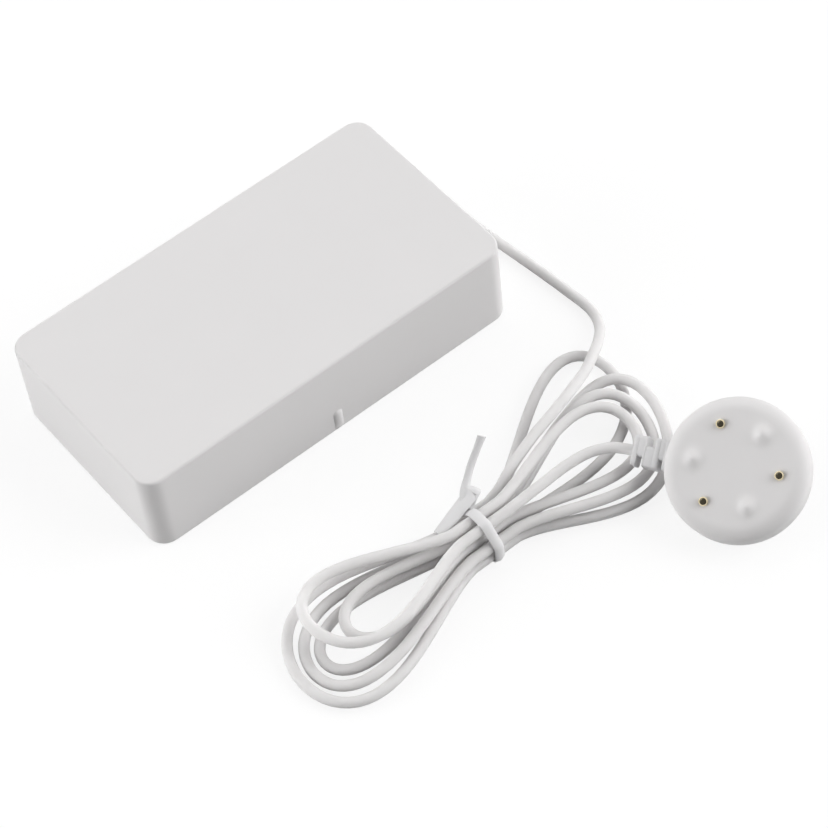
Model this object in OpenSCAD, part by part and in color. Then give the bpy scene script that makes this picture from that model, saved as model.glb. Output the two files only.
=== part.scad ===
// Water leak sensor: a battery-powered radio unit with a remote probe on a tied cord.
// Millimetres, +Z up. The origin is the centre of the main unit's underside.
// +X runs along the long side towards the cord, and +Y away from the tied cord.

/* [Main unit] */
// Length of the main unit along X
body_l = 88; // [84:0.5:100]
// Width of the main unit along Y
body_w = 47; // [46:0.5:56]
// Height of the main unit
body_h = 20.5; // [19:0.5:30]
// Outer radius of the upright corners
corner_r = 4; // [3:0.25:7]
// Thickness of the cover's side walls
wall_t = 2; // [1.4:0.1:2.4]
// Thickness of the cover's top
top_t = 2; // [1.4:0.1:3]
// Thickness of the base plate
base_t = 2.4; // [1.8:0.1:3]
// Gap between the cover and the base plate all round
cover_gap = 0.2; // [0.15:0.05:0.4]
// Height of the cover's rim above the surface
rim_lift = 0.3; // [0.2:0.05:0.5]

/* [Front rib] */
// Width of the raised rib at the middle of the front
rib_w = 2.2; // [1.6:0.1:3]
// Height of the rib
rib_h = 5.8; // [4:0.2:8]
// How far the rib stands out from the front
rib_proud = 0.5; // [0.3:0.05:0.8]
// Height of the rib's foot above the surface
rib_z = 0.8; // [0.6:0.1:2]

/* [Battery cells] */
// Diameter of a cell
cell_d = 10.5; // [9.8:0.1:10.6]
// Length of a cell with its cap
cell_l = 44.5; // [43.5:0.1:46]
// Diameter of the cap at the positive end
cap_d = 3.8; // [3:0.1:5]
// Length of the cap
cap_l = 0.8; // [0.6:0.1:1.4]
// Gap between a cell and its cradle
cell_gap = 0.3; // [0.2:0.05:0.5]
// Gap between the two cells
cell_space = 0.7; // [0.5:0.1:1.2]
// Thickness of a cradle rib
cradle_t = 1.5; // [1.2:0.1:2]
// Length of a contact's round boss
boss_l = 1.5; // [1.2:0.1:2]
// Diameter of a contact's round boss
boss_d = 5; // [4:0.1:6]
// Thickness of the contact strips
strip_t = 0.4; // [0.3:0.05:0.6]

/* [Circuit board] */
// Length of the circuit board
pcb_l = 70; // [64:1:72]
// Width of the circuit board
pcb_w = 15; // [14:0.5:16]
// Thickness of the circuit board
pcb_t = 1.6; // [1:0.1:2]
// Height of the posts under the board
post_h = 1.8; // [1.4:0.1:2.4]
// Diameter of the posts
post_d = 4.4; // [4:0.1:5]
// Diameter of a board screw's shank
screw_d = 2; // [1.6:0.1:2.4]
// Diameter of a board screw's head
screw_head_d = 3.8; // [3.4:0.1:4.4]
// Travel of the pairing switch
switch_travel = 0.25; // [0.15:0.05:0.4]
// Diameter of the pairing switch's plunger
plunger_d = 3.2; // [2.4:0.1:3.6]

/* [Cord] */
// Diameter of the cord
cord_d = 2.2; // [1.8:0.05:2.3]
// Place of the cord's exit across the end
exit_y = 9; // [6:0.5:12]
// Height of the cord's exit
exit_z = 7; // [6.6:0.1:8]
// Diameter of the grommet where it passes the wall
neck_d = 5.2; // [4.4:0.1:5.6]
// Diameter of the grommet's flanges
flange_d = 7.6; // [7:0.1:8]
// Thickness of the grommet's flanges
flange_t = 1.1; // [0.8:0.05:1.2]
// Gap between the grommet and what holds it
grommet_gap = 0.15; // [0.1:0.05:0.3]

/* [Hank] */
// Distance of the waist back from the unit's cord end
hank_back = 40.5; // [38:0.5:42]
// Distance of the waist out from the unit's front
hank_out = 40; // [39:0.5:42]
// Gap between strands at the waist
strand_gap = 0.55; // [0.5:0.05:0.7]
// Width of the tie along the hank
tie_w = 2.6; // [2:0.1:4]
// Thickness of the tie
tie_t = 0.6; // [0.4:0.05:0.8]
// Gap between the tie and the strands
tie_gap = 0.15; // [0.1:0.05:0.3]

/* [Probe] */
// Diameter of the probe
probe_d = 28; // [26:0.5:30]
// Thickness of the probe
probe_t = 9; // [8.4:0.1:10]
// Rounding of the probe's rim
probe_r = 3; // [2:0.25:3.5]
// Wall of the probe's two shells
shell_t = 1.6; // [1.2:0.1:2]
// Distance of a contact in from the rim
contact_in = 5.3; // [4.8:0.1:6]
// Diameter of a contact
contact_d = 1.8; // [1.4:0.1:2.2]
// How far a contact stands out from the face
contact_h = 0.8; // [0.5:0.1:1.2]
// Distance of a moulded foot in from the rim
foot_in = 5.9; // [5.4:0.1:6.4]
// Diameter of a moulded foot
foot_d = 3.6; // [2.8:0.1:4]
// Height of a moulded foot
foot_h = 1.4; // [1:0.1:1.8]
// Thickness of the probe's board
probe_pcb_t = 1; // [0.8:0.1:1.4]
// Length of the ribbed boot outside the probe
boot_l = 6.5; // [5.5:0.1:7]
// Width of the boot
boot_w = 6; // [5:0.1:6.4]
// Height of the boot
boot_h = 5; // [4.4:0.1:5.4]
// Width of a slot in the boot
boot_slot = 0.9; // [0.6:0.1:1.1]

/* [Hidden] */
$fn = 48;
fit_gap = 0.1;
cut = 1;

// Main unit
inner_l = body_l - 2 * wall_t;
inner_w = body_w - 2 * wall_t;
plate_l = inner_l - 2 * cover_gap;
plate_w = inner_w - 2 * cover_gap;
inner_r = corner_r - wall_t;
plate_r = max(0.4, inner_r - cover_gap);
ceiling_z = body_h - top_t;
rib_radius = (rib_w * rib_w / 4 + rib_proud * rib_proud) / (2 * rib_proud);
notch_w = neck_d + 2 * grommet_gap + 2 * cover_gap;
flange_x = body_l / 2 + grommet_gap;
inner_flange_x = inner_l / 2 - grommet_gap;
cord_start_x = flange_x + flange_t;

// Battery bay, along the front wall
bay_edge = 1;
cell_pitch = cell_d + cell_space;
cell_1_y = -plate_w / 2 + bay_edge + cell_gap + cell_d / 2;
cell_2_y = cell_1_y + cell_pitch;
cell_z = base_t + cell_gap + cell_d / 2;
contact_room = fit_gap + boss_l + strip_t;
bay_end_x = cell_l / 2 + contact_room + fit_gap;
strip_x = cell_l / 2 + fit_gap + boss_l;
strip_w = 8;
strip_h = 8.4;
end_wall_h = 9;
cradle_h = cell_gap + cell_d * 0.42;
cradle_span = cell_pitch + cell_d + 2 * cell_gap;
cradle_mid_y = (cell_1_y + cell_2_y) / 2;
cradle_xs = [-0.36 * cell_l, 0, 0.36 * cell_l];

// Circuit board, along the back wall
pcb_edge = 1.2;
pcb_y = plate_w / 2 - pcb_edge - pcb_w / 2;
pcb_clear = 3;
pcb_end_x = inner_flange_x - flange_t - pcb_clear;
pcb_x = pcb_end_x - pcb_l / 2;
pcb_z = base_t + post_h;
pcb_top = pcb_z + pcb_t;
hole_in = 2.6;
post_xs = [pcb_x - pcb_l / 2 + hole_in, pcb_end_x - hole_in];
post_y = pcb_y + pcb_w / 2 - hole_in;
rest_y = pcb_y - pcb_w / 2 + hole_in;
screw_head_h = 1.3;
screw_reach = 3;
module_size = [18, 12, 2.4];
module_in = 20;
module_x = pcb_x - pcb_l / 2 + module_in;
antenna_in = 7;
antenna_x = pcb_x - pcb_l / 2 + antenna_in;
antenna_span = 9;
antenna_h = 5.5;
antenna_w = 1.2;
led_d = 3;
led_h = 3.6;
led_in = 33;
led_x = pcb_end_x - led_in;
switch_in = 23;
switch_x = pcb_end_x - switch_in;
switch_size = [6, 6, 3.4];
plunger_h = 2.4;
plunger_out = 1.2;
plunger_gap = 0.2;
plunger_z = pcb_top + switch_size[2] + plunger_out - plunger_h;
header_size = [6, 7, 3];
header_in = 5;
header_x = pcb_end_x - header_in;
plug_size = [4, 5.4, 2.4];
plug_x = header_x + header_size[0] / 2 + fit_gap + plug_size[0] / 2;
strip_tail_in = 2.4;
strip_tail_y = pcb_y - pcb_w / 2 + strip_tail_in;
strip_tail_w = 1.6;
strip_over = 0.4;
strip_top_z = cell_z + cell_d / 2 + strip_over;

// Probe: it lies face up, leaning on its rim, with the boot on the hank
probe_tilt = 28;
probe_lean = 205;
probe_turn = 98;
rest_gap = 0.05;
probe_past = 1;
probe_out = 65.5;
probe_x = body_l / 2 + probe_past;
probe_y = -body_w / 2 - probe_out;
probe_z = (probe_d / 2 - probe_r) * sin(probe_tilt) + (probe_t - probe_r) * cos(probe_tilt)
    + probe_r + rest_gap;
probe_mid = -probe_t / 2;
contact_ring = probe_d / 2 - contact_in;
foot_ring = probe_d / 2 - foot_in;
shell_in = probe_d / 2 - shell_t;
seat_h = 0.3;
seat_d = 2 * contact_ring - 5;
probe_pcb_z = -shell_t - seat_h - fit_gap;
probe_pcb_d = 2 * shell_in - 1.2;
contact_angles = [0, 120, 240];
foot_angles = [60, 180, 300];
foot_radius = (foot_d * foot_d / 4 + foot_h * foot_h) / (2 * foot_h);
boot_core = cord_d + 1;
boot_neck_d = 4;
boot_flange_d = 5.6;
boot_flange_t = 1.1;
boot_flange_root = fit_gap - sqrt(pow(shell_in, 2) - pow(boot_flange_d / 2, 2));
boot_flange_x = boot_flange_root + boot_flange_t;
boot_slots = 3;
slot_first = 0.7;
slot_step = 2;
wire_d = 0.8;
wire_l = 4;
boot_end = probe_place([-probe_d / 2 - boot_l, 0, probe_mid]);

// Hank: ten strands at the waist in four columns, far to near, and three layers
hank_x = body_l / 2 - hank_back;
hank_y = -body_w / 2 - hank_out;
strand_pitch = cord_d + strand_gap;
surface_gap = 0.1;
lie_z = cord_d / 2 + surface_gap;
second_z = lie_z + strand_pitch;
third_z = second_z + strand_pitch;
waist_z = lie_z + tie_t + tie_gap;
waist_half = 3;
waist_run = waist_half + cord_d;
loop_rings = 24;
loop_sides = 6;
height_power = 8;
shift_power = 2.5;
bulge_peak = 0.6495;

// One row a loop, in the order that the cord runs: side along X, first column and layer,
// last column and layer, reach from the waist, half width, shift and lean across, height
// at the tip, and the difference in height from one side of the loop to the other.
hank_loops = [
    [-1, 1, 1, 4, 0, 45, 9.8, -2.4, 0, lie_z, 0],
    [1, 4, 0, 2, 0, 44.6, 11.2, 1.4, 0.3, second_z - 0.1, 4],
    [-1, 2, 0, 3, 0, 39.2, 5.3, -1.6, 0, lie_z, 0],
    [1, 3, 0, 1, 0, 45, 9, 14, 0, lie_z, 0],
    [-1, 1, 0, 4, 1, 42.2, 6.9, -2.2, 0, lie_z, 0],
    [1, 4, 1, 2, 1, 41.4, 8.8, 1.6, 0.2, second_z - 0.65, 4.8],
    [-1, 2, 1, 3, 1, 32.5, 4.55, -0.9, 0, second_z + 0.4, 0],
    [1, 3, 1, 2, 2, 38.2, 6.5, 0.4, 0.1, second_z + 0.25, 5],
    [-1, 2, 2, 3, 2, 38, 8, 2.4, 0.1, third_z + 0.2, 0],
];
hank_end_x = hank_x + waist_run;

// Tie: the points of its two ends are counted from the middle strand of the waist
tie_at = [hank_x, hank_y, layer_z(1)];
tie_end_d = 1.4;
upright_end = [[0.3, 3.9, 2.7], [1.4, 6, 4.4], [5.5, 8.7, 7.7], [9.5, 9.9, 12.1]];
folded_end = [[0.3, 3.9, 2.7], [3.6, 5.8, 4.6], [0.8, 5.2, 4.2], [-6.8, 4.2, 2.1]];

// Routes of the free cord, from the grommet to the hank and from the hank to the boot. Their
// points are counted from the foot of the unit's corner between its front and its cord end.
corner_at = [body_l / 2, -body_w / 2, 0];
lead_bends = [
    [2.55, 32.35, 6.9], [3.75, 31.85, 6.65], [4.8, 31.05, 6.2], [5.6, 30, 5.65], [6.1, 28.8, 5],
    [6.75, 26.3, 3.7], [7.5, 22.8, 2.45], [8.2, 19.1, 1.8], [8.9, 14.7, 1.4], [9.6, 10.1, 1.2],
    [10.4, 3.5, 1.2], [11.2, -4.5, 1.2], [11.6, -11, 1.2], [10.2, -15.5, 1.5], [7.2, -18.9, 2.7],
    [3.2, -22, 4.4], [-1.5, -24.9, 5.6], [-7, -27.3, 6.8], [-13, -29.3, 7.4], [-20, -31.3, 7.6],
    [-27, -33.5, 7], [-32, -35.3, 5.6],
];
tail_bends = [
    [-32, -41.3, 7.6], [-26, -41.1, 7.7], [-20, -40.9, 7.7], [-14.6, -41.5, 7.7],
    [-11.1, -43.2, 7.8], [-9.1, -45.4, 8],
];
lead_route = concat(
    [[cord_start_x, exit_y, exit_z]],
    [for (p = lead_bends) corner_at + p],
    [[hank_end_x, hank_y + column_y(1), layer_z(1)]]);
tail_route = concat(
    [[hank_end_x, hank_y + column_y(3), layer_z(2)]],
    [for (p = tail_bends) corner_at + p],
    [boot_end]);
route_steps = 2;
route_sides = 8;

// Helpers

function smooth(t) = t * t * t * (6 * t * t - 15 * t + 10);
function column_y(column) = (2.5 - column) * strand_pitch;
function layer_z(layer) = waist_z + layer * strand_pitch;
function unit(v) = v / norm(v);
function total(v, i = 0) = i < len(v) ? v[i] + total(v, i + 1) : 0;

// A point of one loop of the hank, from t = 0 where it leaves the waist to t = 1.
function loop_point(row, t) =
    let (s = sin(180 * t))
    let (bulge = -row[0] * row[6] * sin(360 * t) * s * s / bulge_peak)
    let (along = waist_run + (row[5] - waist_run) * s * s + row[8] * bulge)
    let (from_y = column_y(row[1]))
    let (to_y = column_y(row[3]))
    let (across = from_y + (to_y - from_y) * smooth(t) + row[7] * pow(s, shift_power) + bulge)
    let (from_z = layer_z(row[2]))
    let (to_z = layer_z(row[4]))
    let (waist = from_z + (to_z - from_z) * smooth(t))
    let (tip = row[9] - row[10] * cos(180 * t))
    [hank_x + row[0] * along, hank_y + across, waist + (tip - waist) * pow(s, height_power)];

// The hank's centreline: every loop in turn, with the straight runs through the waist between.
function hank_points(rings) = concat(
    [[hank_end_x, hank_y + column_y(hank_loops[0][1]), layer_z(hank_loops[0][2])]],
    [for (row = hank_loops) for (i = [0:rings]) loop_point(row, i / rings)],
    [[hank_end_x, hank_y + column_y(3), layer_z(2)]]);

// A point between b and c on a smooth curve through a, b, c and d.
function between(a, b, c, d, t) =
    0.5 * (2 * b + (c - a) * t + (2 * a - 5 * b + 4 * c - d) * t * t
    + (3 * b - a - 3 * c + d) * t * t * t);

// A route with steps points to a span, smoothed through its own points.
function smooth_route(route, steps) =
    let (last = len(route) - 1)
    let (ends = concat([2 * route[0] - route[1]], route, [2 * route[last] - route[last - 1]]))
    concat(
        [for (i = [0:last - 1]) for (j = [0:steps - 1])
            between(ends[i], ends[i + 1], ends[i + 2], ends[i + 3], j / steps)],
        [route[last]]);

// The direction of a line of points at point i.
function heading(points, i) =
    unit(points[min(i + 1, len(points) - 1)] - points[max(i - 1, 0)]);

// A ring of a tube, square to its heading.
function ring(centre, direction, sides) =
    let (side = unit(cross([0, 0, 1], direction)))
    let (up = cross(direction, side))
    [for (j = [0:sides - 1])
        centre + cord_d / 2 * (cos(360 * j / sides) * side + sin(360 * j / sides) * up)];

// Where a point of the probe's own frame lies on the part.
function turn_z(p, a) = [p[0] * cos(a) - p[1] * sin(a), p[0] * sin(a) + p[1] * cos(a), p[2]];
function turn_y(p, a) = [p[0] * cos(a) + p[2] * sin(a), p[1], p[2] * cos(a) - p[0] * sin(a)];
function probe_place(p) =
    [probe_x, probe_y, probe_z]
    + turn_z(turn_y(turn_z(p, probe_turn), probe_tilt), probe_lean);

// One closed tube of triangles along a line of points.
module tube(points, sides, first, last) {
    count = len(points);
    rings = [for (i = [0:count - 1])
        each ring(points[i], i == 0 ? first : i == count - 1 ? last : heading(points, i), sides)];
    walls = [for (i = [0:count - 2]) for (j = [0:sides - 1])
        let (a = i * sides + j)
        let (b = i * sides + (j + 1) % sides)
        each [[a, b, a + sides], [b, b + sides, a + sides]]];
    start_cap = [for (j = [1:sides - 2]) [0, j + 1, j]];
    end_first = (count - 1) * sides;
    end_cap = [for (j = [1:sides - 2]) [end_first, end_first + j, end_first + j + 1]];
    polyhedron(points = rings, faces = concat(start_cap, walls, end_cap));
}

module rounded_rect(l, w, r) {
    square([l - 2 * r, w], center = true);
    square([l, w - 2 * r], center = true);
    for (x = [-1, 1])
        for (y = [-1, 1])
            translate([x * (l / 2 - r), y * (w / 2 - r)]) circle(r);
}

module box_on(x, y, z, size) {
    translate([x - size[0] / 2, y - size[1] / 2, z]) cube(size);
}

module along_x(x, y, z, d, l) {
    translate([x, y, z]) rotate([0, 90, 0]) cylinder(d = d, h = l);
}

module on_probe() {
    translate([probe_x, probe_y, probe_z])
        rotate([0, 0, probe_lean]) rotate([0, probe_tilt, 0]) rotate([0, 0, probe_turn]) children();
}

// Main unit

// The cover: five walls in one moulding, open below, with a notch for the grommet.
module top_cover() {
    color("gainsboro") {
        difference() {
            translate([0, 0, rim_lift])
                linear_extrude(body_h - rim_lift) rounded_rect(body_l, body_w, corner_r);
            translate([0, 0, rim_lift - cut])
                linear_extrude(ceiling_z - rim_lift + cut) rounded_rect(inner_l, inner_w, inner_r);
            along_x(inner_l / 2 - cut, exit_y, exit_z, notch_w, wall_t + 2 * cut);
            translate([inner_l / 2 - cut, exit_y - notch_w / 2, rim_lift - cut])
                cube([wall_t + 2 * cut, notch_w, exit_z - rim_lift + cut]);
        }
        front_rib();
    }
}

// The raised half-round rib at the middle of the cover's front.
module front_rib() {
    intersection() {
        translate([0, -body_w / 2 - rib_proud + rib_radius, rib_z]) {
            cylinder(r = rib_radius, h = rib_h - rib_radius);
            translate([0, 0, rib_h - rib_radius]) sphere(rib_radius);
        }
        translate([-rib_w, -body_w / 2 - cut, 0]) cube([2 * rib_w, cut + wall_t / 4, rib_z + rib_h]);
    }
}

// The base plate, with the cradle for the cells, the board's posts and the grommet's saddle.
module base_plate() {
    color("whitesmoke") difference() {
        union() {
            linear_extrude(base_t) rounded_rect(plate_l, plate_w, plate_r);
            for (x = cradle_xs)
                box_on(x, cradle_mid_y, base_t, [cradle_t, cradle_span, cradle_h]);
            for (side = [-1, 1])
                box_on(side * (bay_end_x + cradle_t / 2), cradle_mid_y, base_t,
                    [cradle_t, cradle_span, end_wall_h]);
            for (x = post_xs)
                for (y = [rest_y, post_y])
                    translate([x, y, base_t]) cylinder(d = post_d, h = post_h);
            translate([plate_l / 2 - cut, exit_y - notch_w / 2 + cover_gap, 0])
                cube([body_l / 2 - plate_l / 2 + cut, notch_w - 2 * cover_gap, base_t]);
            translate([inner_l / 2, exit_y - notch_w / 2 + cover_gap, 0])
                cube([wall_t, notch_w - 2 * cover_gap, exit_z]);
        }
        for (y = [cell_1_y, cell_2_y])
            along_x(-bay_end_x, y, cell_z, cell_d + 2 * cell_gap, 2 * bay_end_x);
        for (x = post_xs)
            translate([x, post_y, base_t + post_h - screw_reach])
                cylinder(d = screw_d + fit_gap, h = screw_reach + cut);
        along_x(inner_l / 2 - cut, exit_y, exit_z, neck_d + 2 * grommet_gap, wall_t + 2 * cut);
    }
}

// The rubber grommet that the cord leaves through, with a flange on each side of the wall.
module cord_grommet() {
    color("white") difference() {
        union() {
            along_x(inner_flange_x, exit_y, exit_z, neck_d, flange_x - inner_flange_x);
            along_x(flange_x, exit_y, exit_z, flange_d, flange_t);
            along_x(inner_flange_x - flange_t, exit_y, exit_z, flange_d, flange_t);
        }
        along_x(inner_flange_x - flange_t - cut, exit_y, exit_z, cord_d + 2 * fit_gap,
            flange_x - inner_flange_x + 2 * flange_t + 2 * cut);
    }
}

// The cord's end inside the unit, from the plug to the outside of the grommet.
module cord_inner() {
    start = plug_x + plug_size[0] / 2;
    color("white") along_x(start, exit_y, exit_z, cord_d, cord_start_x - start);
}

// The plug on the cord's end.
module sensor_plug() {
    color("ivory") box_on(plug_x, exit_y, exit_z - plug_size[2] / 2, plug_size);
}

// The header on the board that takes the plug.
module sensor_header() {
    color("ivory") box_on(header_x, exit_y, pcb_top, header_size);
}

// The circuit board on its posts.
module main_pcb() {
    color("seagreen") difference() {
        box_on(pcb_x, pcb_y, pcb_z, [pcb_l, pcb_w, pcb_t]);
        for (x = post_xs)
            translate([x, post_y, pcb_z - cut])
                cylinder(d = screw_d + 2 * fit_gap, h = pcb_t + 2 * cut);
    }
}

// The two screws that hold the board.
module pcb_screws() {
    color("silver") for (x = post_xs)
        translate([x, post_y, pcb_top]) {
            cylinder(d = screw_head_d, h = screw_head_h);
            translate([0, 0, fit_gap - pcb_t - screw_reach])
                cylinder(d = screw_d, h = pcb_t + screw_reach - fit_gap + screw_head_h / 2);
        }
}

// The shielded radio.
module radio_module() {
    color("silver") box_on(module_x, pcb_y, pcb_top, module_size);
}

// The folded strip antenna at the board's end.
module antenna() {
    color("goldenrod") {
        box_on(antenna_x, pcb_y, pcb_top + antenna_h - strip_t, [antenna_w, antenna_span, strip_t]);
        for (side = [-1, 1])
            box_on(antenna_x, pcb_y + side * (antenna_span - strip_t) / 2, pcb_top,
                [antenna_w, strip_t, antenna_h]);
    }
}

// The status light.
module status_led() {
    color("lightgreen") translate([led_x, pcb_y, pcb_top]) {
        cylinder(d = led_d, h = led_h - led_d / 2);
        translate([0, 0, led_h - led_d / 2]) sphere(d = led_d);
    }
}

// The pairing switch, with a well for its plunger.
module switch_body() {
    color("dimgray") difference() {
        box_on(switch_x, pcb_y, pcb_top, switch_size);
        translate([switch_x, pcb_y, plunger_z - switch_travel - plunger_gap])
            cylinder(d = plunger_d + 2 * plunger_gap, h = plunger_h + 2 * cut);
    }
}

// The plunger that is pressed down to pair the sensor.
module switch_plunger() {
    color("black") translate([switch_x, pcb_y, plunger_z]) cylinder(d = plunger_d, h = plunger_h);
}

// A battery cell along X, with its positive cap at +X.
module battery_cell(y) {
    along_x(-cell_l / 2, y, cell_z, cell_d, cell_l - cap_l);
    along_x(cell_l / 2 - cap_l - fit_gap, y, cell_z, cap_d, cap_l + fit_gap);
}

module battery_cell_1() {
    color("dimgray") rotate([0, 0, 180]) battery_cell(-cell_1_y);
}

module battery_cell_2() {
    color("dimgray") battery_cell(cell_2_y);
}

// A flat contact with a round boss that bears on a cell's end; way is the end's side along X.
module cell_contact(y, way) {
    box_on(way * (strip_x + strip_t / 2), y, cell_z - strip_h / 2, [strip_t, strip_w, strip_h]);
    along_x(way > 0 ? strip_x - boss_l : -strip_x, y, cell_z, boss_d, boss_l);
}

// The strip that joins the two cells at the end away from the cord.
module battery_bridge() {
    color("silver") {
        cell_contact(cell_1_y, -1);
        cell_contact(cell_2_y, -1);
        box_on(-strip_x - strip_t / 2, cradle_mid_y, cell_z - strip_tail_w / 2,
            [strip_t, cell_pitch, strip_tail_w]);
    }
}

// The positive contact, with a tail that is soldered to the board.
module battery_positive() {
    tail_from = cell_2_y + strip_w / 2 - cut;
    color("silver") {
        cell_contact(cell_2_y, 1);
        translate([strip_x, tail_from, pcb_top])
            cube([strip_t, strip_tail_y - tail_from, strip_tail_w]);
    }
}

// The negative contact: its tail passes over the other contact to the board.
module battery_negative() {
    tail_y = strip_tail_y + strip_tail_w;
    color("silver") {
        cell_contact(cell_1_y, 1);
        translate([strip_x, cell_1_y - strip_tail_w / 2, cell_z])
            cube([strip_t, strip_tail_w, strip_top_z - cell_z]);
        translate([strip_x, cell_1_y - strip_tail_w / 2, strip_top_z - strip_tail_w / 2])
            cube([strip_t, tail_y - cell_1_y + strip_tail_w / 2, strip_tail_w]);
        translate([strip_x, tail_y - strip_tail_w, pcb_top])
            cube([strip_t, strip_tail_w, strip_top_z - pcb_top]);
    }
}

// Cord

module cord_lead() {
    color("white")
        tube(smooth_route(lead_route, route_steps), route_sides, [1, 0, 0], [-1, 0, 0]);
}

module cord_tail() {
    color("white")
        tube(smooth_route(tail_route, route_steps), route_sides, [1, 0, 0],
            unit(probe_place([1, 0, 0]) - probe_place([0, 0, 0])));
}

// The hank is one unbroken tube; its least gap to itself is measured between points of its
// centreline that lie more than a few diameters apart along the cord.
module cord_hank() {
    points = hank_points(loop_rings);
    color("white") tube(points, loop_sides, [-1, 0, 0], [1, 0, 0]);
    fine = hank_points(2 * loop_rings);
    apart = 14;
    gaps = [for (i = [0:len(fine) - apart - 1]) for (j = [i + apart:len(fine) - 1])
        norm(fine[i] - fine[j]) - cord_d];
    echo(least_gap_of_the_hank = min(gaps));
    echo(hank_length = total([for (i = [1:len(fine) - 1]) norm(fine[i] - fine[i - 1])]));
}

// The outline of the tied strands, grown by an offset.
module waist_outline(grow) {
    corners = [[1, 0], [4, 0], [1, 1], [4, 1], [2, 2], [3, 2]];
    hull()
        for (c = corners)
            translate([column_y(c[0]), layer_z(c[1])])
                circle(r = cord_d / 2 + tie_gap + grow, $fn = 32);
}

// A loose end of the tie: a round-edged run through a few points.
module tie_end(points) {
    for (i = [0:len(points) - 2])
        hull()
            for (p = [points[i], points[i + 1]])
                translate(tie_at + p) sphere(d = tie_end_d, $fn = 16);
}

// The tie: a covered wire wound once round the waist, with one end standing up from its far
// side and the other folded back along the strands.
module twist_tie() {
    color("white") {
        translate([hank_x - tie_w / 2, hank_y, 0]) rotate([90, 0, 90]) linear_extrude(tie_w)
            difference() {
                waist_outline(tie_t);
                waist_outline(0);
            }
        tie_end(upright_end);
        tie_end(folded_end);
    }
}

// Probe, in its own frame: the face is z = 0 and the boot points along -X

// A closed shell of revolution with a rounded rim, from z = 0 down to the middle of the probe.
module half_shell() {
    difference() {
        rotate_extrude() union() {
            translate([0, probe_mid]) square([probe_d / 2 - probe_r, -probe_mid]);
            translate([0, probe_mid]) square([probe_d / 2, -probe_mid - probe_r]);
            translate([probe_d / 2 - probe_r, -probe_r]) circle(probe_r);
        }
        translate([0, 0, probe_mid - cut]) cylinder(r = shell_in, h = -probe_mid - shell_t + cut);
        translate([0, 0, probe_mid - probe_r - cut])
            cylinder(d = probe_d + cut, h = probe_r + cut + fit_gap / 4);
        along_x(-probe_d / 2 - cut, 0, probe_mid, boot_neck_d + 2 * fit_gap, shell_t + 2 * cut);
    }
}

// A point on a circle of the face.
module on_ring(radius, angle) {
    rotate([0, 0, angle]) translate([radius, 0, 0]) children();
}

// The upper shell, with three moulded feet, the contacts' holes and a seat for the board.
module probe_face() {
    color("whitesmoke") on_probe() difference() {
        union() {
            half_shell();
            for (angle = foot_angles)
                on_ring(foot_ring, angle) intersection() {
                    translate([0, 0, foot_h - foot_radius]) sphere(foot_radius);
                    translate([0, 0, -shell_t / 2]) cylinder(d = foot_d + cut, h = foot_h + shell_t);
                }
            translate([0, 0, -shell_t - seat_h]) cylinder(d = seat_d, h = seat_h + shell_t / 2);
        }
        for (angle = contact_angles)
            on_ring(contact_ring, angle)
                translate([0, 0, -shell_t - cut]) cylinder(d = contact_d + fit_gap, h = shell_t + 2 * cut);
    }
}

// The lower shell, with posts that hold the board up to its seat.
module probe_back() {
    post_top = probe_pcb_z - probe_pcb_t - fit_gap;
    color("whitesmoke") on_probe() {
        translate([0, 0, 2 * probe_mid]) mirror([0, 0, 1]) half_shell();
        for (angle = foot_angles)
            if (angle != 180)
                on_ring(foot_ring, angle) translate([0, 0, -probe_t + shell_t / 2])
                    cylinder(d = foot_d, h = post_top + probe_t - shell_t / 2);
    }
}

// The round board that the contacts are soldered to, notched for the boot's flange.
module probe_pcb() {
    color("seagreen") on_probe() difference() {
        translate([0, 0, probe_pcb_z - probe_pcb_t]) cylinder(d = probe_pcb_d, h = probe_pcb_t);
        for (angle = contact_angles)
            on_ring(contact_ring, angle) translate([0, 0, probe_pcb_z - probe_pcb_t - cut])
                cylinder(d = contact_d + fit_gap, h = probe_pcb_t + 2 * cut);
        translate([-probe_d / 2, -boot_flange_d / 2 - fit_gap, probe_pcb_z - probe_pcb_t - cut])
            cube([probe_d / 2 + boot_flange_x + fit_gap, boot_flange_d + 2 * fit_gap, probe_pcb_t + 2 * cut]);
    }
}

// A gold-plated contact with a domed end, through the face and the board.
module probe_contact(angle) {
    bottom = probe_pcb_z - probe_pcb_t - fit_gap;
    dome = contact_d / 2;
    color("gold") on_probe() on_ring(contact_ring, angle) {
        translate([0, 0, bottom]) cylinder(d = contact_d, h = contact_h - dome / 2 - bottom);
        intersection() {
            translate([0, 0, contact_h - dome * 1.25]) sphere(dome * 1.25);
            translate([0, 0, contact_h - dome]) cylinder(d = contact_d, h = dome);
        }
    }
}

module probe_contact_1() {
    probe_contact(contact_angles[0]);
}

module probe_contact_2() {
    probe_contact(contact_angles[1]);
}

module probe_contact_3() {
    probe_contact(contact_angles[2]);
}

// The flexible boot: a block slotted from each side in turn, a neck in the wall and a flange.
module probe_boot() {
    root = -probe_d / 2 - fit_gap;
    block_l = boot_l - fit_gap;
    color("white") on_probe() {
        difference() {
            translate([root - block_l, -boot_w / 2, probe_mid - boot_h / 2])
                cube([block_l, boot_w, boot_h]);
            for (i = [0:boot_slots - 1])
                translate([root - slot_first - i * slot_step, 0, 0]) rotate([0, 0, (i + 1) % 2 * 180])
                    translate([-boot_slot / 2, boot_core / 2, probe_mid - boot_h])
                        cube([boot_slot, boot_w, 2 * boot_h]);
        }
        along_x(root - fit_gap, 0, probe_mid, boot_neck_d, boot_flange_x - root);
        along_x(boot_flange_root, 0, probe_mid, boot_flange_d, boot_flange_t);
    }
}

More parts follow.
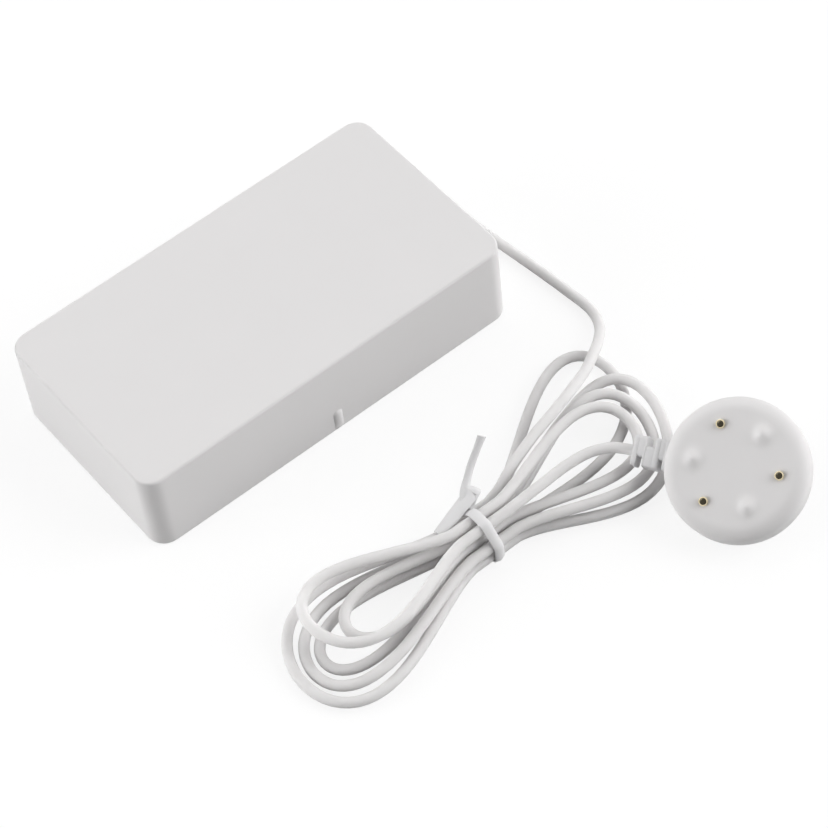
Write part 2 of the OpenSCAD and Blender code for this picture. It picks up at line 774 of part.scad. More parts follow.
// The two wires from the boot to the underside of the probe's board.
module probe_wires() {
    wire_z = probe_pcb_z - probe_pcb_t - wire_d / 2;
    color("firebrick") on_probe()
        for (side = [-1, 1])
            along_x(boot_flange_x, side * wire_d, wire_z, wire_d, wire_l);
}

top_cover();
base_plate();
cord_grommet();
cord_inner();
sensor_plug();
sensor_header();
main_pcb();
pcb_screws();
radio_module();
antenna();
status_led();
switch_body();
switch_plunger();
battery_cell_1();
battery_cell_2();
battery_bridge();
battery_positive();
battery_negative();
cord_lead();
cord_hank();
cord_tail();
twist_tie();
probe_face();
probe_back();
probe_pcb();
probe_contact_1();
probe_contact_2();
probe_contact_3();
probe_boot();
probe_wires();
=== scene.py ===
import math

import bmesh
import bpy
from mathutils import Matrix, Vector


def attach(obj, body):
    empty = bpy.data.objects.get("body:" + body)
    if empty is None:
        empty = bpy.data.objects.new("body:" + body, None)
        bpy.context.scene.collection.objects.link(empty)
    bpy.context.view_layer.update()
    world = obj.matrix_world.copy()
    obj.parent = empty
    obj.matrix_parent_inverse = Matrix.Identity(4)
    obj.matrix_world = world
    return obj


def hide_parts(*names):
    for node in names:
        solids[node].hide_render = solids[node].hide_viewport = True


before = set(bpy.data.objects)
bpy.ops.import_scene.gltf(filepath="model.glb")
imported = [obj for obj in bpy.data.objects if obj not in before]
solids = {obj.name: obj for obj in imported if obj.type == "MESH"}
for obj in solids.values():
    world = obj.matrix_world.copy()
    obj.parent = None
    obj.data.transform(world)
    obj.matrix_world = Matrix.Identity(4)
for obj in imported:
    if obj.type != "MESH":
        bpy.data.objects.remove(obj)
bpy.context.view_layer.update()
scene = bpy.context.scene
MM = 0.001


# The view
# A long lens, held above and in front of the unit's near corner and turned a little.
def add_object(name, data):
    made = bpy.data.objects.new(name, data)
    scene.collection.objects.link(made)
    return made


photo_side = 828
photo_focal = 2962.1
sensor = 36
camera_at = Vector((-174.71, -324.40, 471.76))
camera_right = Vector((0.7784, -0.62289, -0.07812))
camera_up = Vector((0.53999, 0.60088, 0.58937))
camera_back = Vector((-0.32017, -0.50095, 0.80408))
camera = add_object("camera", bpy.data.cameras.new("camera"))
camera_turn = Matrix((camera_right, camera_up, camera_back)).transposed().to_4x4()
camera.matrix_world = Matrix.Translation(camera_at * MM) @ camera_turn
camera.data.sensor_width = sensor
camera.data.lens = sensor * photo_focal / photo_side
scene.camera = camera
scene.view_settings.view_transform = "Standard"


# Base plate
# A white moulded plate that closes the unit from below, with a cradle for the cells and posts
# for the board. It is the same satin plastic as the cover and fits inside the cover's rim.
class Field:
    """A value that varies over a surface. Arithmetic on it adds Math nodes to its tree."""

    def __init__(self, tree, socket):
        self.tree = tree
        self.socket = socket

    @classmethod
    def node(cls, tree, kind, sockets=None, output=0, **settings):
        """Adds one node: its settings first, then the values or links of its sockets."""
        made = tree.nodes.new(kind)
        for name, value in settings.items():
            setattr(made, name, value)
        cls.feed(made, sockets or {})
        return cls(tree, made.outputs[output])

    @staticmethod
    def feed(node, sockets):
        """Gives a node's sockets fixed values, or links to values that vary."""
        for name, value in sockets.items():
            if isinstance(value, Field):
                value.tree.links.new(value.socket, node.inputs[name])
            else:
                node.inputs[name].default_value = value

    def math(self, operation, first, second):
        return Field.node(self.tree, "ShaderNodeMath", {0: first, 1: second}, operation=operation)

    def __add__(self, other):
        return self.math("ADD", self, other)

    def __sub__(self, other):
        return self.math("SUBTRACT", self, other)

    def __mul__(self, other):
        return self.math("MULTIPLY", self, other)

    def __gt__(self, other):
        return self.math("GREATER_THAN", self, other)

    def __lt__(self, other):
        return self.math("LESS_THAN", self, other)

    def __rsub__(self, other):
        return self.math("SUBTRACT", other, self)

    __radd__ = __add__
    __rmul__ = __mul__


def new_material(name, roughness, metallic=0.0):
    """A material, its shader and the place on its surface in object coordinates."""
    made = bpy.data.materials.new(name)
    made.use_nodes = True
    shader = made.node_tree.nodes["Principled BSDF"]
    Field.feed(shader, {"Roughness": roughness, "Metallic": metallic})
    place = Field.node(made.node_tree, "ShaderNodeTexCoord", output="Object")
    return made, shader, place


def noise(place, scale, detail=2.0):
    grain = {"Vector": place, "Scale": scale, "Detail": detail}
    return Field.node(place.tree, "ShaderNodeTexNoise", grain)


def blend_colours(share, first, second):
    sockets = {0: share, 6: first, 7: second}
    return Field.node(share.tree, "ShaderNodeMix", sockets, 2, data_type="RGBA")


def raised(height, strength, depth):
    relief = {"Height": height, "Strength": strength, "Distance": depth}
    return Field.node(height.tree, "ShaderNodeBump", relief)


def uneven(share, colour, low, high):
    """A colour that wanders between a deeper and a paler tint of itself."""
    deeper = tuple(c * low for c in colour) + (1,)
    paler = tuple(min(1.0, c * high) for c in colour) + (1,)
    return blend_colours(share, deeper, paler)


def moulded_plastic(name, colour, roughness, grain_scale, grain_depth):
    """Satin moulded plastic: a faint cloudiness in the colour and a fine spark-eroded grain."""
    made, shader, place = new_material(name, roughness)
    cloud = noise(place, 70.0, 4.0)
    grain = noise(place, grain_scale, 3.0)
    Field.feed(shader, {
        "Specular IOR Level": 0.25,
        "Base Color": uneven(cloud, colour, 0.985, 1.012),
        "Roughness": roughness - 0.06 + 0.12 * grain,
        "Normal": raised(grain, 0.35, grain_depth)})
    return made


def dress(material, *names):
    """Gives CAD nodes that are shown as they are a finished material."""
    for name in names:
        for place in solids[name].material_slots:
            place.material = material


white_colour, white_grain, white_relief = (0.803, 0.79, 0.79), 5200.0, 0.00002
white_plastic = moulded_plastic("white_plastic", white_colour, 0.42, white_grain, white_relief)
dress(white_plastic, "base_plate")


# Battery cells
# Two slim cells side by side, head to tail: a steel can in a dark shrunk sleeve with a pale band,
# bare at its positive end round a stepped cap. They drop into the cradle between the contacts.
def loft(rings, capped=False, round_trip=False, finishes=None):
    """A skin over rings of points with equal counts, capped at both ends or joined into a loop."""
    made = bmesh.new()
    rows = [[made.verts.new(Vector(p) * MM) for p in ring] for ring in rings]
    count = len(rings[0])
    pairs = list(zip(rows, rows[1:]))
    if round_trip:
        pairs.append((rows[-1], rows[0]))
    for k, (low, high) in enumerate(pairs):
        for i in range(count):
            j = (i + 1) % count
            face = made.faces.new((low[i], low[j], high[j], high[i]))
            face.material_index = finishes[k] if finishes else 0
    if capped:
        made.faces.new(list(reversed(rows[0])))
        made.faces.new(rows[-1])
    bmesh.ops.remove_doubles(made, verts=made.verts, dist=0.0001 * MM)
    bmesh.ops.recalc_face_normals(made, faces=made.faces)
    return made


def add_piece(name, made, materials, sharp_angle=35):
    """An object from a bmesh, smooth but for edges sharper than an angle."""
    mesh = bpy.data.meshes.new(name)
    made.to_mesh(mesh)
    made.free()
    mesh.polygons.foreach_set("use_smooth", [True] * len(mesh.polygons))
    mesh.set_sharp_from_angle(angle=math.radians(sharp_angle))
    for material in materials if isinstance(materials, tuple) else (materials,):
        mesh.materials.append(material)
    piece = add_object(name, mesh)
    return piece


def full_turn(sides):
    return [2 * math.pi * i / sides for i in range(sides)]


def on_circle(x, y, radius, turns):
    return [(x + radius * math.cos(a), y + radius * math.sin(a)) for a in turns]


def around_x(x, radius, centre, sides=48):
    return [(x, y, z) for y, z in on_circle(*centre, radius, full_turn(sides))]


def rolled_metal(name, colour, roughness, along):
    """Rolled metal: fine lines along one axis in the roughness and the surface."""
    made, shader, place = new_material(name, roughness, 1.0)
    stretch = tuple(40.0 if axis == along else 2600.0 for axis in "XYZ")
    drawn_out = Field.node(place.tree, "ShaderNodeMapping", {"Vector": place, "Scale": stretch})
    lines = noise(drawn_out, 1.0, 3.0)
    Field.feed(shader, {
        "Base Color": (*colour, 1),
        "Roughness": roughness - 0.08 + 0.16 * lines,
        "Normal": raised(lines, 0.2, 0.00001)})
    return made


def cell_sleeve(name, way):
    """Printed shrink film: dark, with a pale band and a thin ring towards the positive end."""
    made, shader, place = new_material(name, 0.28)
    along = Field.node(place.tree, "ShaderNodeSeparateXYZ", {"Vector": place}, "X") * (way / MM)
    ring_from, ring_to, band_from = 10.6, 11.2, 12.0
    band = (along > ring_from) - (along > ring_to) + (along > band_from)
    ripple = noise(place, 380.0, 3.0)
    fine = noise(place, 2400.0, 2.0)
    dark = blend_colours(ripple, (0.030, 0.038, 0.050, 1), (0.042, 0.052, 0.066, 1))
    pale = blend_colours(ripple, (0.50, 0.51, 0.53, 1), (0.58, 0.59, 0.61, 1))
    Field.feed(shader, {
        "Base Color": blend_colours(band, dark, pale),
        "Roughness": 0.2 + 0.14 * ripple,
        "Normal": raised(ripple + 0.2 * fine, 0.25, 0.00006)})
    return made


cell_z, cell_ys, cell_sides = 7.95, {1: -14.75, 2: -3.55}, 64
cell_steel = rolled_metal("cell_steel", (0.62, 0.61, 0.59), 0.3, "X")
# Each row is a place along the cell, the radius there, and 0 for bare steel or 1 for the sleeve.
cell_outline = [
    (-22.25, 0.0, 0), (-22.25, 3.1, 0), (-22.1, 3.3, 0), (-22.1, 3.7, 0), (-22.15, 3.9, 0),
    (-22.15, 4.45, 0), (-22.25, 4.5, 1), (-22.25, 4.75, 1), (-22.2, 5.0, 1), (-22.05, 5.2, 1),
    (-21.9, 5.25, 1), (-21.2, 5.25, 1), (20.4, 5.25, 1), (20.9, 5.25, 1), (21.1, 5.2, 1),
    (21.3, 5.05, 1), (21.4, 4.8, 1), (21.42, 4.3, 0), (21.32, 4.25, 0), (21.32, 3.2, 0),
    (21.15, 3.0, 0), (21.15, 2.1, 0), (21.25, 1.95, 0), (21.4, 1.9, 0), (22.1, 1.9, 0),
    (22.2, 1.8, 0), (22.25, 1.6, 0), (22.25, 0.0, 0)]
cell_finishes = [part for x, r, part in cell_outline]
for number, way in ((1, -1), (2, 1)):
    cell_at = (cell_ys[number], cell_z)
    cell_rings = [around_x(way * x, r, cell_at, cell_sides) for x, r, part in cell_outline]
    sleeve = cell_sleeve(f"cell_sleeve_{number}", way)
    cell = add_piece(f"cell_{number}", loft(cell_rings, finishes=cell_finishes),
                     (cell_steel, sleeve))
    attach(cell, "unit")
    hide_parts(f"battery_cell_{number}")


# Cell contacts
# Stamped and plated steel strips that press on the cells' ends. One joins the two cells, and the
# other two have tails soldered to the board.
plated_steel = rolled_metal("plated_steel", (0.66, 0.66, 0.65), 0.32, "Y")
dress(plated_steel, "battery_bridge", "battery_positive", "battery_negative")


# Circuit board
# Green solder mask over glass fibre. The copper tracks show as paler lines under the mask, and
# tinned holes stand between them. It rests on four posts under two screws. The probe's is the same.
def board_mask(name, mask, track):
    """Solder mask: tracks under it in two broken sets of lines, and small tinned holes."""
    made, shader, place = new_material(name, 0.35)

    def lines(offset, width, run, pitch):
        return Field.node(place.tree, "ShaderNodeTexBrick", {
            "Vector": place, "Scale": 1 / MM, "Mortar Size": width, "Mortar Smooth": 0.1,
            "Brick Width": run, "Row Height": pitch}, "Fac", offset=offset)

    area = noise(place, 160.0, 1.0)
    border = 0.47
    tracks = lines(0.37, 0.17, 6.3, 1.15) * (area > border) + lines(0.5, 0.12, 2.1, 3.7) * (area < border)
    dots = Field.node(place.tree, "ShaderNodeTexVoronoi", {"Vector": place, "Scale": 420.0}, "Distance",
                      voronoi_dimensions="2D")
    holes = dots < 0.13
    fine = noise(place, 900.0, 2.0)
    covered = blend_colours(tracks, mask, track)
    tin = (0.62, 0.61, 0.57, 1)
    Field.feed(shader, {
        "Base Color": blend_colours(holes, covered, tin),
        "Metallic": holes * 0.9,
        "Roughness": 0.26 + 0.14 * fine,
        "Normal": raised(tracks, 0.4, 0.00003)})
    return made


board_top, board_mid_y = 5.8, 12.6
solder_mask = board_mask("solder_mask", (0.010, 0.078, 0.032, 1), (0.022, 0.150, 0.066, 1))
dress(solder_mask, "main_pcb", "probe_pcb")


# Small board parts
# Chip resistors and capacitors with tinned ends, a controller in a moulded case and the legs along
# its sides, all soldered to the top of the board.
def new_tree(name, sizes):
    """A tree that takes places, sizes and a finish, with what it is given by name."""
    tree = bpy.data.node_groups.new(name, "GeometryNodeTree")
    for label, kind in {"Places": "Geometry", **sizes, "Finish": "Material"}.items():
        tree.interface.new_socket(label, in_out="INPUT", socket_type=f"NodeSocket{kind}")
    tree.interface.new_socket("Copies", in_out="OUTPUT", socket_type="NodeSocketGeometry")
    given = tree.nodes.new("NodeGroupInput")
    return tree, {socket.name: Field(tree, socket) for socket in given.outputs if socket.name}


def end_tree(tree, copies, finish):
    """Makes the copies plain geometry, gives them their finish and ends the tree."""
    plain = Field.node(tree, "GeometryNodeRealizeInstances", {"Geometry": copies})
    dressed = Field.node(tree, "GeometryNodeSetMaterial", {"Geometry": plain, "Material": finish})
    Field.feed(tree.nodes.new("NodeGroupOutput"), {"Copies": dressed})
    return tree


def row_of_blocks():
    """A tree that sets a row of blocks at each place, turned by the place's own angle."""
    lengths = dict.fromkeys(("Pitch", "Length", "Width", "Height"), "Float")
    tree, size = new_tree("row_of_blocks", {"Count": "Int", **lengths})

    def triple(x, y, z):
        return Field.node(tree, "ShaderNodeCombineXYZ", {"X": x, "Y": y, "Z": z})

    first = triple((1 - size["Count"]) * size["Pitch"] * 0.5, 0.0, 0.0)
    spots = Field.node(tree, "GeometryNodeMeshLine", {
        "Count": size["Count"], "Start Location": first, "Offset": triple(size["Pitch"], 0.0, 0.0)},
        mode="OFFSET")
    block = Field.node(tree, "GeometryNodeMeshCube", {
        "Size": triple(size["Length"], size["Width"], size["Height"])})
    standing = Field.node(tree, "GeometryNodeTransform", {
        "Geometry": block, "Translation": triple(0.0, 0.0, size["Height"] * 0.5)})
    blocks = Field.node(tree, "GeometryNodeInstanceOnPoints", {"Points": spots, "Instance": standing})
    turn = Field.node(tree, "GeometryNodeInputNamedAttribute", {"Name": "turn"}, data_type="FLOAT")
    rows = Field.node(tree, "GeometryNodeInstanceOnPoints", {
        "Points": size["Places"], "Instance": blocks, "Rotation": triple(0.0, 0.0, turn)})
    return end_tree(tree, rows, size["Finish"])


def make_plain(piece):
    """Turns a piece and its modifier into a plain mesh."""
    bpy.context.view_layer.update()
    plain = bpy.data.meshes.new_from_object(piece.evaluated_get(bpy.context.evaluated_depsgraph_get()))
    piece.modifiers.clear()
    piece.data = plain
    plain.name = piece.name


def set_out(name, tree, places, sizes, material):
    """Runs a tree on places, each a point and an angle, and keeps the result as a plain mesh."""
    mesh = bpy.data.meshes.new(name)
    mesh.from_pydata([Vector(p) * MM for p, angle in places], [], [])
    angles = mesh.attributes.new("turn", "FLOAT", "POINT")
    angles.data.foreach_set("value", [math.radians(angle) for p, angle in places])
    piece = add_object(name, mesh)
    change = piece.modifiers.new(name, "NODES")
    change.node_group = tree
    given = {**sizes, "Finish": material}
    for socket in tree.interface.items_tree:
        if socket.in_out == "INPUT" and socket.name in given:
            change[socket.identifier] = given[socket.name]
    make_plain(piece)
    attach(piece, "unit")
    return piece


def row(count, pitch, length, width, height):
    """What a row of blocks is given: how many, their pitch and their size."""
    lengths = {"Pitch": pitch, "Length": length, "Width": width, "Height": height}
    return {"Count": count, **{name: value * MM for name, value in lengths.items()}}


def rounded_box(low, high, edge):
    """A block between two corners with its edges rounded."""
    made = bmesh.new()
    bmesh.ops.create_cube(made, size=1)
    for vert in made.verts:
        vert.co = Vector([(a + b) / 2 + t * (b - a) for a, b, t in zip(low, high, vert.co)]) * MM
    bmesh.ops.bevel(made, geom=made.edges[:], offset=edge * MM, segments=3, profile=0.5, affect="EDGES")
    return made


small_grain = 3000.0
# How far a small block sits into what carries it.
bite = 0.02
dark_plastic = moulded_plastic("dark_plastic", (0.03, 0.03, 0.032), 0.45, small_grain, 0.00002)
chip_ceramic = moulded_plastic("chip_ceramic", (0.22, 0.17, 0.12), 0.5, small_grain, 0.00001)
tinned = rolled_metal("tinned", (0.70, 0.70, 0.68), 0.28, "X")
chip_l, chip_w, chip_h, chip_end = 2.0, 1.25, 0.6, 0.4
chip_inset, chip_share = 0.1, 0.94
chip_spots = [
    (-1.2, 7.6, 90), (-1.2, 10.8, 90), (-1.0, 15.2, 0), (1.4, 17.6, 0), (1.6, 8.2, 90), (8.2, 7.2, 0),
    (8.6, 10.4, 90), (8.6, 15.2, 90), (10.6, 18.2, 0), (14.2, 18.2, 0), (17.4, 18.2, 0), (20.6, 8.4, 90),
    (20.2, 17.9, 0), (27.4, 8.2, 90), (27.4, 12.6, 90), (27.2, 16.8, 90), (30.6, 15.2, 0)]
chip_places = [((x, y, board_top - bite), turn) for x, y, turn in chip_spots]
blocks = row_of_blocks()
chip_body = row(1, 0.0, chip_l - chip_inset, chip_share * chip_w, chip_share * chip_h)
set_out("chips", blocks, chip_places, chip_body, chip_ceramic)
chip_caps = row(2, chip_l - chip_end, chip_end, chip_w, chip_h)
set_out("chip_ends", blocks, chip_places, chip_caps, tinned)
controller_x, controller_y, leg_y = 23.6, 13.4, 2.35
case = rounded_box((21.0, 11.45, board_top + 0.12), (26.2, 15.35, board_top + 1.2), 0.14)
controller = add_piece("controller", case, dark_plastic)
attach(controller, "unit")
leg_places = [((controller_x, controller_y + y, board_top - bite), 0) for y in (-leg_y, leg_y)]
set_out("controller_legs", blocks, leg_places, row(8, 0.62, 0.3, 1.1, 0.4), tinned)


# Radio
# A bought-in module: a pressed and tinned can over a small dark board, with pads along its two long
# edges that are soldered to the main board.
radio_low, radio_high = (-21.25, 6.6), (-3.25, 18.6)
radio_mid_x = (radio_low[0] + radio_high[0]) / 2
pad_in = 0.1
radio_mask = board_mask("radio_mask", (0.010, 0.014, 0.030, 1), (0.022, 0.030, 0.060, 1))
radio_board = add_piece("radio_board", rounded_box(
    (*radio_low, board_top), (*radio_high, board_top + 0.8), 0.06), radio_mask)
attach(radio_board, "unit")
can = rounded_box((-20.25, 7.4, board_top + 0.7), (-4.25, 17.8, board_top + 2.4), 0.32)
radio_can = add_piece("radio_can", can, tinned)
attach(radio_can, "unit")
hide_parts("radio_module")
pad_ys = (radio_low[1] + pad_in, radio_high[1] - pad_in)
pad_places = [((radio_mid_x, y, board_top - bite), 0) for y in pad_ys]
set_out("radio_pads", blocks, pad_places, row(12, 1.27, 0.7, 0.4, 0.85), tinned)


# Antenna
# A copper alloy strip bent into a low bridge, with its two feet on the end of the board.
antenna_strip = rolled_metal("antenna_strip", (0.70, 0.45, 0.22), 0.3, "Y")
dress(antenna_strip, "antenna")


# Status light
# A small clear lamp cast in resin, with a round lens and a thin flange on the board.
def around_z(z, radius, centre, sides=48):
    return [(x, y, z) for x, y in on_circle(*centre, radius, full_turn(sides))]


def quarter_turn(steps, start=0):
    return [math.radians(start + 90 * i / steps) for i in range(steps + 1)]


lens_at, lens_r, lens_h = (4.75, board_mid_y), 1.5, 3.6
clear_resin = moulded_plastic("clear_resin", (0.60, 0.74, 0.60), 0.12, 800.0, 0.000005)
Field.feed(clear_resin.node_tree.nodes["Principled BSDF"], {"Transmission Weight": 0.55})
lens_outline = [(0.0, 0.0), (lens_r + 0.2, 0.0), (lens_r + 0.25, 0.1), (lens_r + 0.25, 0.5),
                (lens_r + 0.15, 0.6), (lens_r, 0.62)]
lens_outline += on_circle(0.0, lens_h - lens_r, lens_r, quarter_turn(12))
lens_rings = [around_z(board_top + z, r, lens_at) for r, z in lens_outline]
lens = add_piece("status_lens", loft(lens_rings), clear_resin)
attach(lens, "unit")
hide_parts("status_led")


# Pairing switch
# A square push switch: a dark moulded body under a folded steel plate with four rivets, and a
# round plunger with a soft edge that is pushed down through the plate.
def square_ring(z, half, radius, centre):
    """A level square outline with round corners."""
    ring = []
    for sx, sy, start in ((1, 1, 0), (-1, 1, 90), (-1, -1, 180), (1, -1, 270)):
        x, y = centre[0] + sx * (half - radius), centre[1] + sy * (half - radius)
        ring += [(*p, z) for p in on_circle(x, y, radius, quarter_turn(9, start))]
    return ring


switch_at, switch_top, plunger_r, plunger_top = (14.75, board_mid_y), 9.2, 1.6, 10.4
guide_r, guide_z = plunger_r + 0.2, 7.6
# The switch's outside by height, half width and corner, then the hole that guides the plunger.
switch_rings = [square_ring(z, half, r, switch_at) for z, half, r in (
    (board_top, 0.0, 0.0), (board_top, 3.0, 0.3), (8.7, 3.0, 0.3), (8.7, 2.9, 0.4),
    (9.05, 2.9, 0.4), (9.17, 2.86, 0.4), (switch_top, 2.75, 0.4))]
switch_rings += [square_ring(z, r, r, switch_at) for z, r in (
    (switch_top, guide_r), (guide_z, guide_r), (guide_z, 0.0))]
body_part, plate_part = 0, 1
switch_finishes = [body_part] * 2 + [plate_part] * 5 + [body_part] * 2
switch = add_piece("switch", loft(switch_rings, finishes=switch_finishes),
                   (dark_plastic, plated_steel))
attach(switch, "unit")
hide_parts("switch_body")
rivet_y = 2.15
rivet_places = [((switch_at[0], switch_at[1] + y, switch_top - bite), 0) for y in (-rivet_y, rivet_y)]
set_out("switch_rivets", blocks, rivet_places, row(2, 4.3, 0.7, 0.7, 0.2), dark_plastic)
plunger_foot, plunger_edge = 8.0, 0.35
round_r, round_z = plunger_r - plunger_edge, plunger_top - plunger_edge
plunger_outline = [(0.0, plunger_foot), (plunger_r, plunger_foot), (plunger_r, round_z)]
plunger_outline += on_circle(round_r, round_z, plunger_edge, quarter_turn(6)[1:])
plunger_outline += [(0.9, plunger_top), (0.7, plunger_top - 0.08), (0.0, plunger_top - 0.1)]
plunger_rings = [around_z(z, r, switch_at) for r, z in plunger_outline]
plunger = add_piece("plunger_cap", loft(plunger_rings), dark_plastic)
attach(plunger, "plunger")
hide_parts("switch_plunger")


# Header and plug
# An ivory nylon housing soldered to the board with two pins, and the plug on the cord's end that
# slides into it, with grip ribs across its top.
ivory_nylon = moulded_plastic("ivory_nylon", (0.74, 0.71, 0.60), 0.45, small_grain, 0.00002)
header_low, header_high, header_y = (29.75, 5.5, board_top), (35.75, 12.5, board_top + 3), 9.0
header = add_piece("header", rounded_box(header_low, header_high, 0.22), ivory_nylon)
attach(header, "unit")
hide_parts("sensor_header")
pins_at = (header_low[0] - 0.5, header_y, board_top - bite)
set_out("header_pins", blocks, [(pins_at, 90)], row(2, 2.5, 0.6, 1.6, 0.3), tinned)
ribs_at = (header_low[0] + 3, header_y, header_high[2] - bite)
set_out("header_ribs", blocks, [(ribs_at, 0)], row(2, 2.6, 0.5, 5.4, 0.2), ivory_nylon)
plug_low, plug_high, grip_x = (35.85, 6.3, 5.8), (39.85, 11.7, 8.2), 38.0
plug = add_piece("plug", rounded_box(plug_low, plug_high, 0.3), ivory_nylon)
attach(plug, "unit")
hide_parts("sensor_plug")
grip_at = (grip_x, header_y, plug_high[2] - bite)
set_out("plug_ribs", blocks, [(grip_at, 0)], row(4, 0.7, 0.3, 4.4, 0.18), ivory_nylon)


# Board screws
# Two small pan-head steel screws with a cross recess, driven through the board into its posts.
def at_places(source):
    """A tree that sets a copy of one object at each place, turned and sized."""
    tree, size = new_tree("at_places", {"Size": "Float"})
    model = Field.node(tree, "GeometryNodeObjectInfo", {"Object": source}, "Geometry")
    turn = Field.node(tree, "GeometryNodeInputNamedAttribute", {"Name": "turn"}, data_type="FLOAT")
    spin = Field.node(tree, "ShaderNodeCombineXYZ", {"Z": turn})
    even = Field.node(tree, "ShaderNodeCombineXYZ", dict.fromkeys("XYZ", size["Size"]))
    copies = Field.node(tree, "GeometryNodeInstanceOnPoints", {
        "Points": size["Places"], "Instance": model, "Rotation": spin, "Scale": even})
    return end_tree(tree, copies, size["Finish"])


head_r, head_h, head_fall, shank_r, shank_end = 1.9, 1.3, 0.45, 1.0, -4.4
recess, arm_reach, arm_half = 0.7, 1.25, 0.3
end_slope, side_slope = 0.35, 0.08
head_sides, head_steps = 96, 26


def head_point(r, a):
    """A point of the screw's head: a low dome, cut by a cross whose arms slope to its middle."""
    x, y = r * math.cos(a), r * math.sin(a)
    height = head_h - head_fall * (r / head_r) ** 2
    off_arm = min(abs(x), abs(y))
    if r < arm_reach and off_arm < arm_half:
        down_arm = min(1.0, (arm_reach - r) / end_slope)
        height -= recess * down_arm * min(1.0, (arm_half - off_arm) / side_slope)
    return x, y, height


head_radii = [head_r * i / head_steps for i in range(head_steps + 1)]
screw_rings = [[head_point(r, a) for a in full_turn(head_sides)] for r in head_radii]
screw_outline = [(head_r, 0.25), (head_r - 0.1, 0.0), (shank_r, 0.0), (shank_r, -3.8),
                 (shank_r - 0.4, shank_end), (0.0, shank_end)]
screw_rings += [around_z(z, r, (0, 0), head_sides) for r, z in screw_outline]
screw_steel = rolled_metal("screw_steel", (0.60, 0.60, 0.60), 0.3, "Z")
screw_model = add_piece("screw_model", loft(screw_rings), screw_steel)
screw_y = 17.5
screw_places = [((x, screw_y, board_top), turn) for x, turn in ((-29.65, 20), (35.15, 65))]
screws = set_out("screws", at_places(screw_model), screw_places, {"Size": 1.0}, screw_steel)
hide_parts("pcb_screws")
bpy.data.objects.remove(screw_model)


# Grommet
# A soft white bush with a flange on each side of the end wall; the cord runs through its bore.
def soft_vinyl(name, colour, roughness, glow=0.0):
    """Soft white vinyl: a slight unevenness from extrusion and a waxy, faintly mottled surface."""
    made, shader, place = new_material(name, roughness)
    mottle = noise(place, 320.0, 4.0)
    fine = noise(place, 2600.0, 2.0)
    Field.feed(shader, {
        "Specular IOR Level": 0.2,
        "Subsurface Weight": glow, "Subsurface Radius": (1, 1, 1), "Subsurface Scale": 0.003,
        "Base Color": uneven(mottle, colour, 0.97, 1.02),
        "Roughness": roughness - 0.08 + 0.16 * mottle,
        "Normal": raised(mottle + 0.4 * fine, 0.3, 0.00003)})
    return made


unit_l, unit_w, unit_h = 88.0, 47.0, 20.5
wall = 2.0
cord_d = 2.2
exit_y, exit_z = 9.0, 7.0
grommet_gap = 0.15
neck_r, flange_r, flange_t = 2.6, 3.8, 1.1
grommet_edge = 0.35
flange_x = unit_l / 2 + grommet_gap
inner_flange_x = unit_l / 2 - wall - grommet_gap
cord_start_x = flange_x + flange_t
bore_r = cord_d / 2 + 0.1
soft_white = soft_vinyl("soft_white", (0.79, 0.785, 0.79), 0.45)


def rounded_step(low, high, radius, edge):
    """The outline of a disc from x = low to x = high with rounded rims, as (x, radius) pairs."""
    turns = quarter_turn(5)
    first = [(low + edge - edge * math.cos(a), radius - edge + edge * math.sin(a)) for a in turns]
    last = [(high - edge + edge * math.sin(a), radius - edge + edge * math.cos(a)) for a in turns]
    return first + last


grommet_outline = (
    [(inner_flange_x - flange_t, bore_r)]
    + rounded_step(inner_flange_x - flange_t, inner_flange_x, flange_r, grommet_edge)
    + [(inner_flange_x, neck_r), (flange_x, neck_r)]
    + rounded_step(flange_x, cord_start_x, flange_r, grommet_edge)
    + [(cord_start_x, bore_r)])
grommet_rings = [around_x(x, r, (exit_y, exit_z)) for x, r in grommet_outline]
grommet = add_piece("grommet", loft(grommet_rings, round_trip=True), soft_white)
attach(grommet, "unit")
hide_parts("cord_grommet")


# Cord
# A round two-core cord in soft white vinyl, about a metre long. It runs from the grommet to a
# tied hank of nine loops that lie on each other, and from there to the probe.
cord_vinyl = soft_vinyl("cord_vinyl", (0.79, 0.776, 0.773), 0.5, 0.9)
strand_pitch = cord_d + 0.55
lie_z = 1.2
second_z = lie_z + strand_pitch
third_z = second_z + strand_pitch
hank_x, hank_y = 3.5, -63.5
waist_middle, waist_z, waist_run = 2.5, 1.95, 5.2
loop_steps = 60
bulge_peak = 0.6495
# A loop's side, the slots of the waist where it starts and ends, its reach, half width, shift and
# lean, and the height and roll of its tip.
hank_loops = [
    (-1, (1, 1), (4, 0), 45.0, 9.8, -2.4, 0.0, lie_z, 0.0),
    (1, (4, 0), (2, 0), 44.6, 11.2, 1.4, 0.3, second_z - 0.1, 4.0),
    (-1, (2, 0), (3, 0), 39.2, 5.3, -1.6, 0.0, lie_z, 0.0),
    (1, (3, 0), (1, 0), 45.0, 9.0, 14.0, 0.0, lie_z, 0.0),
    (-1, (1, 0), (4, 1), 42.2, 6.9, -2.2, 0.0, lie_z, 0.0),
    (1, (4, 1), (2, 1), 41.4, 8.8, 1.6, 0.2, second_z - 0.65, 4.8),
    (-1, (2, 1), (3, 1), 32.5, 4.55, -0.9, 0.0, second_z + 0.4, 0.0),
    (1, (3, 1), (2, 2), 38.2, 6.5, 0.4, 0.1, second_z + 0.25, 5.0),
    (-1, (2, 2), (3, 2), 38.0, 8.0, 2.4, 0.1, third_z + 0.2, 0.0),
]


def waist_slot(column, layer):
    """Where a strand crosses the waist: its place across and its height."""
    return (waist_middle - column) * strand_pitch, waist_z + layer * strand_pitch


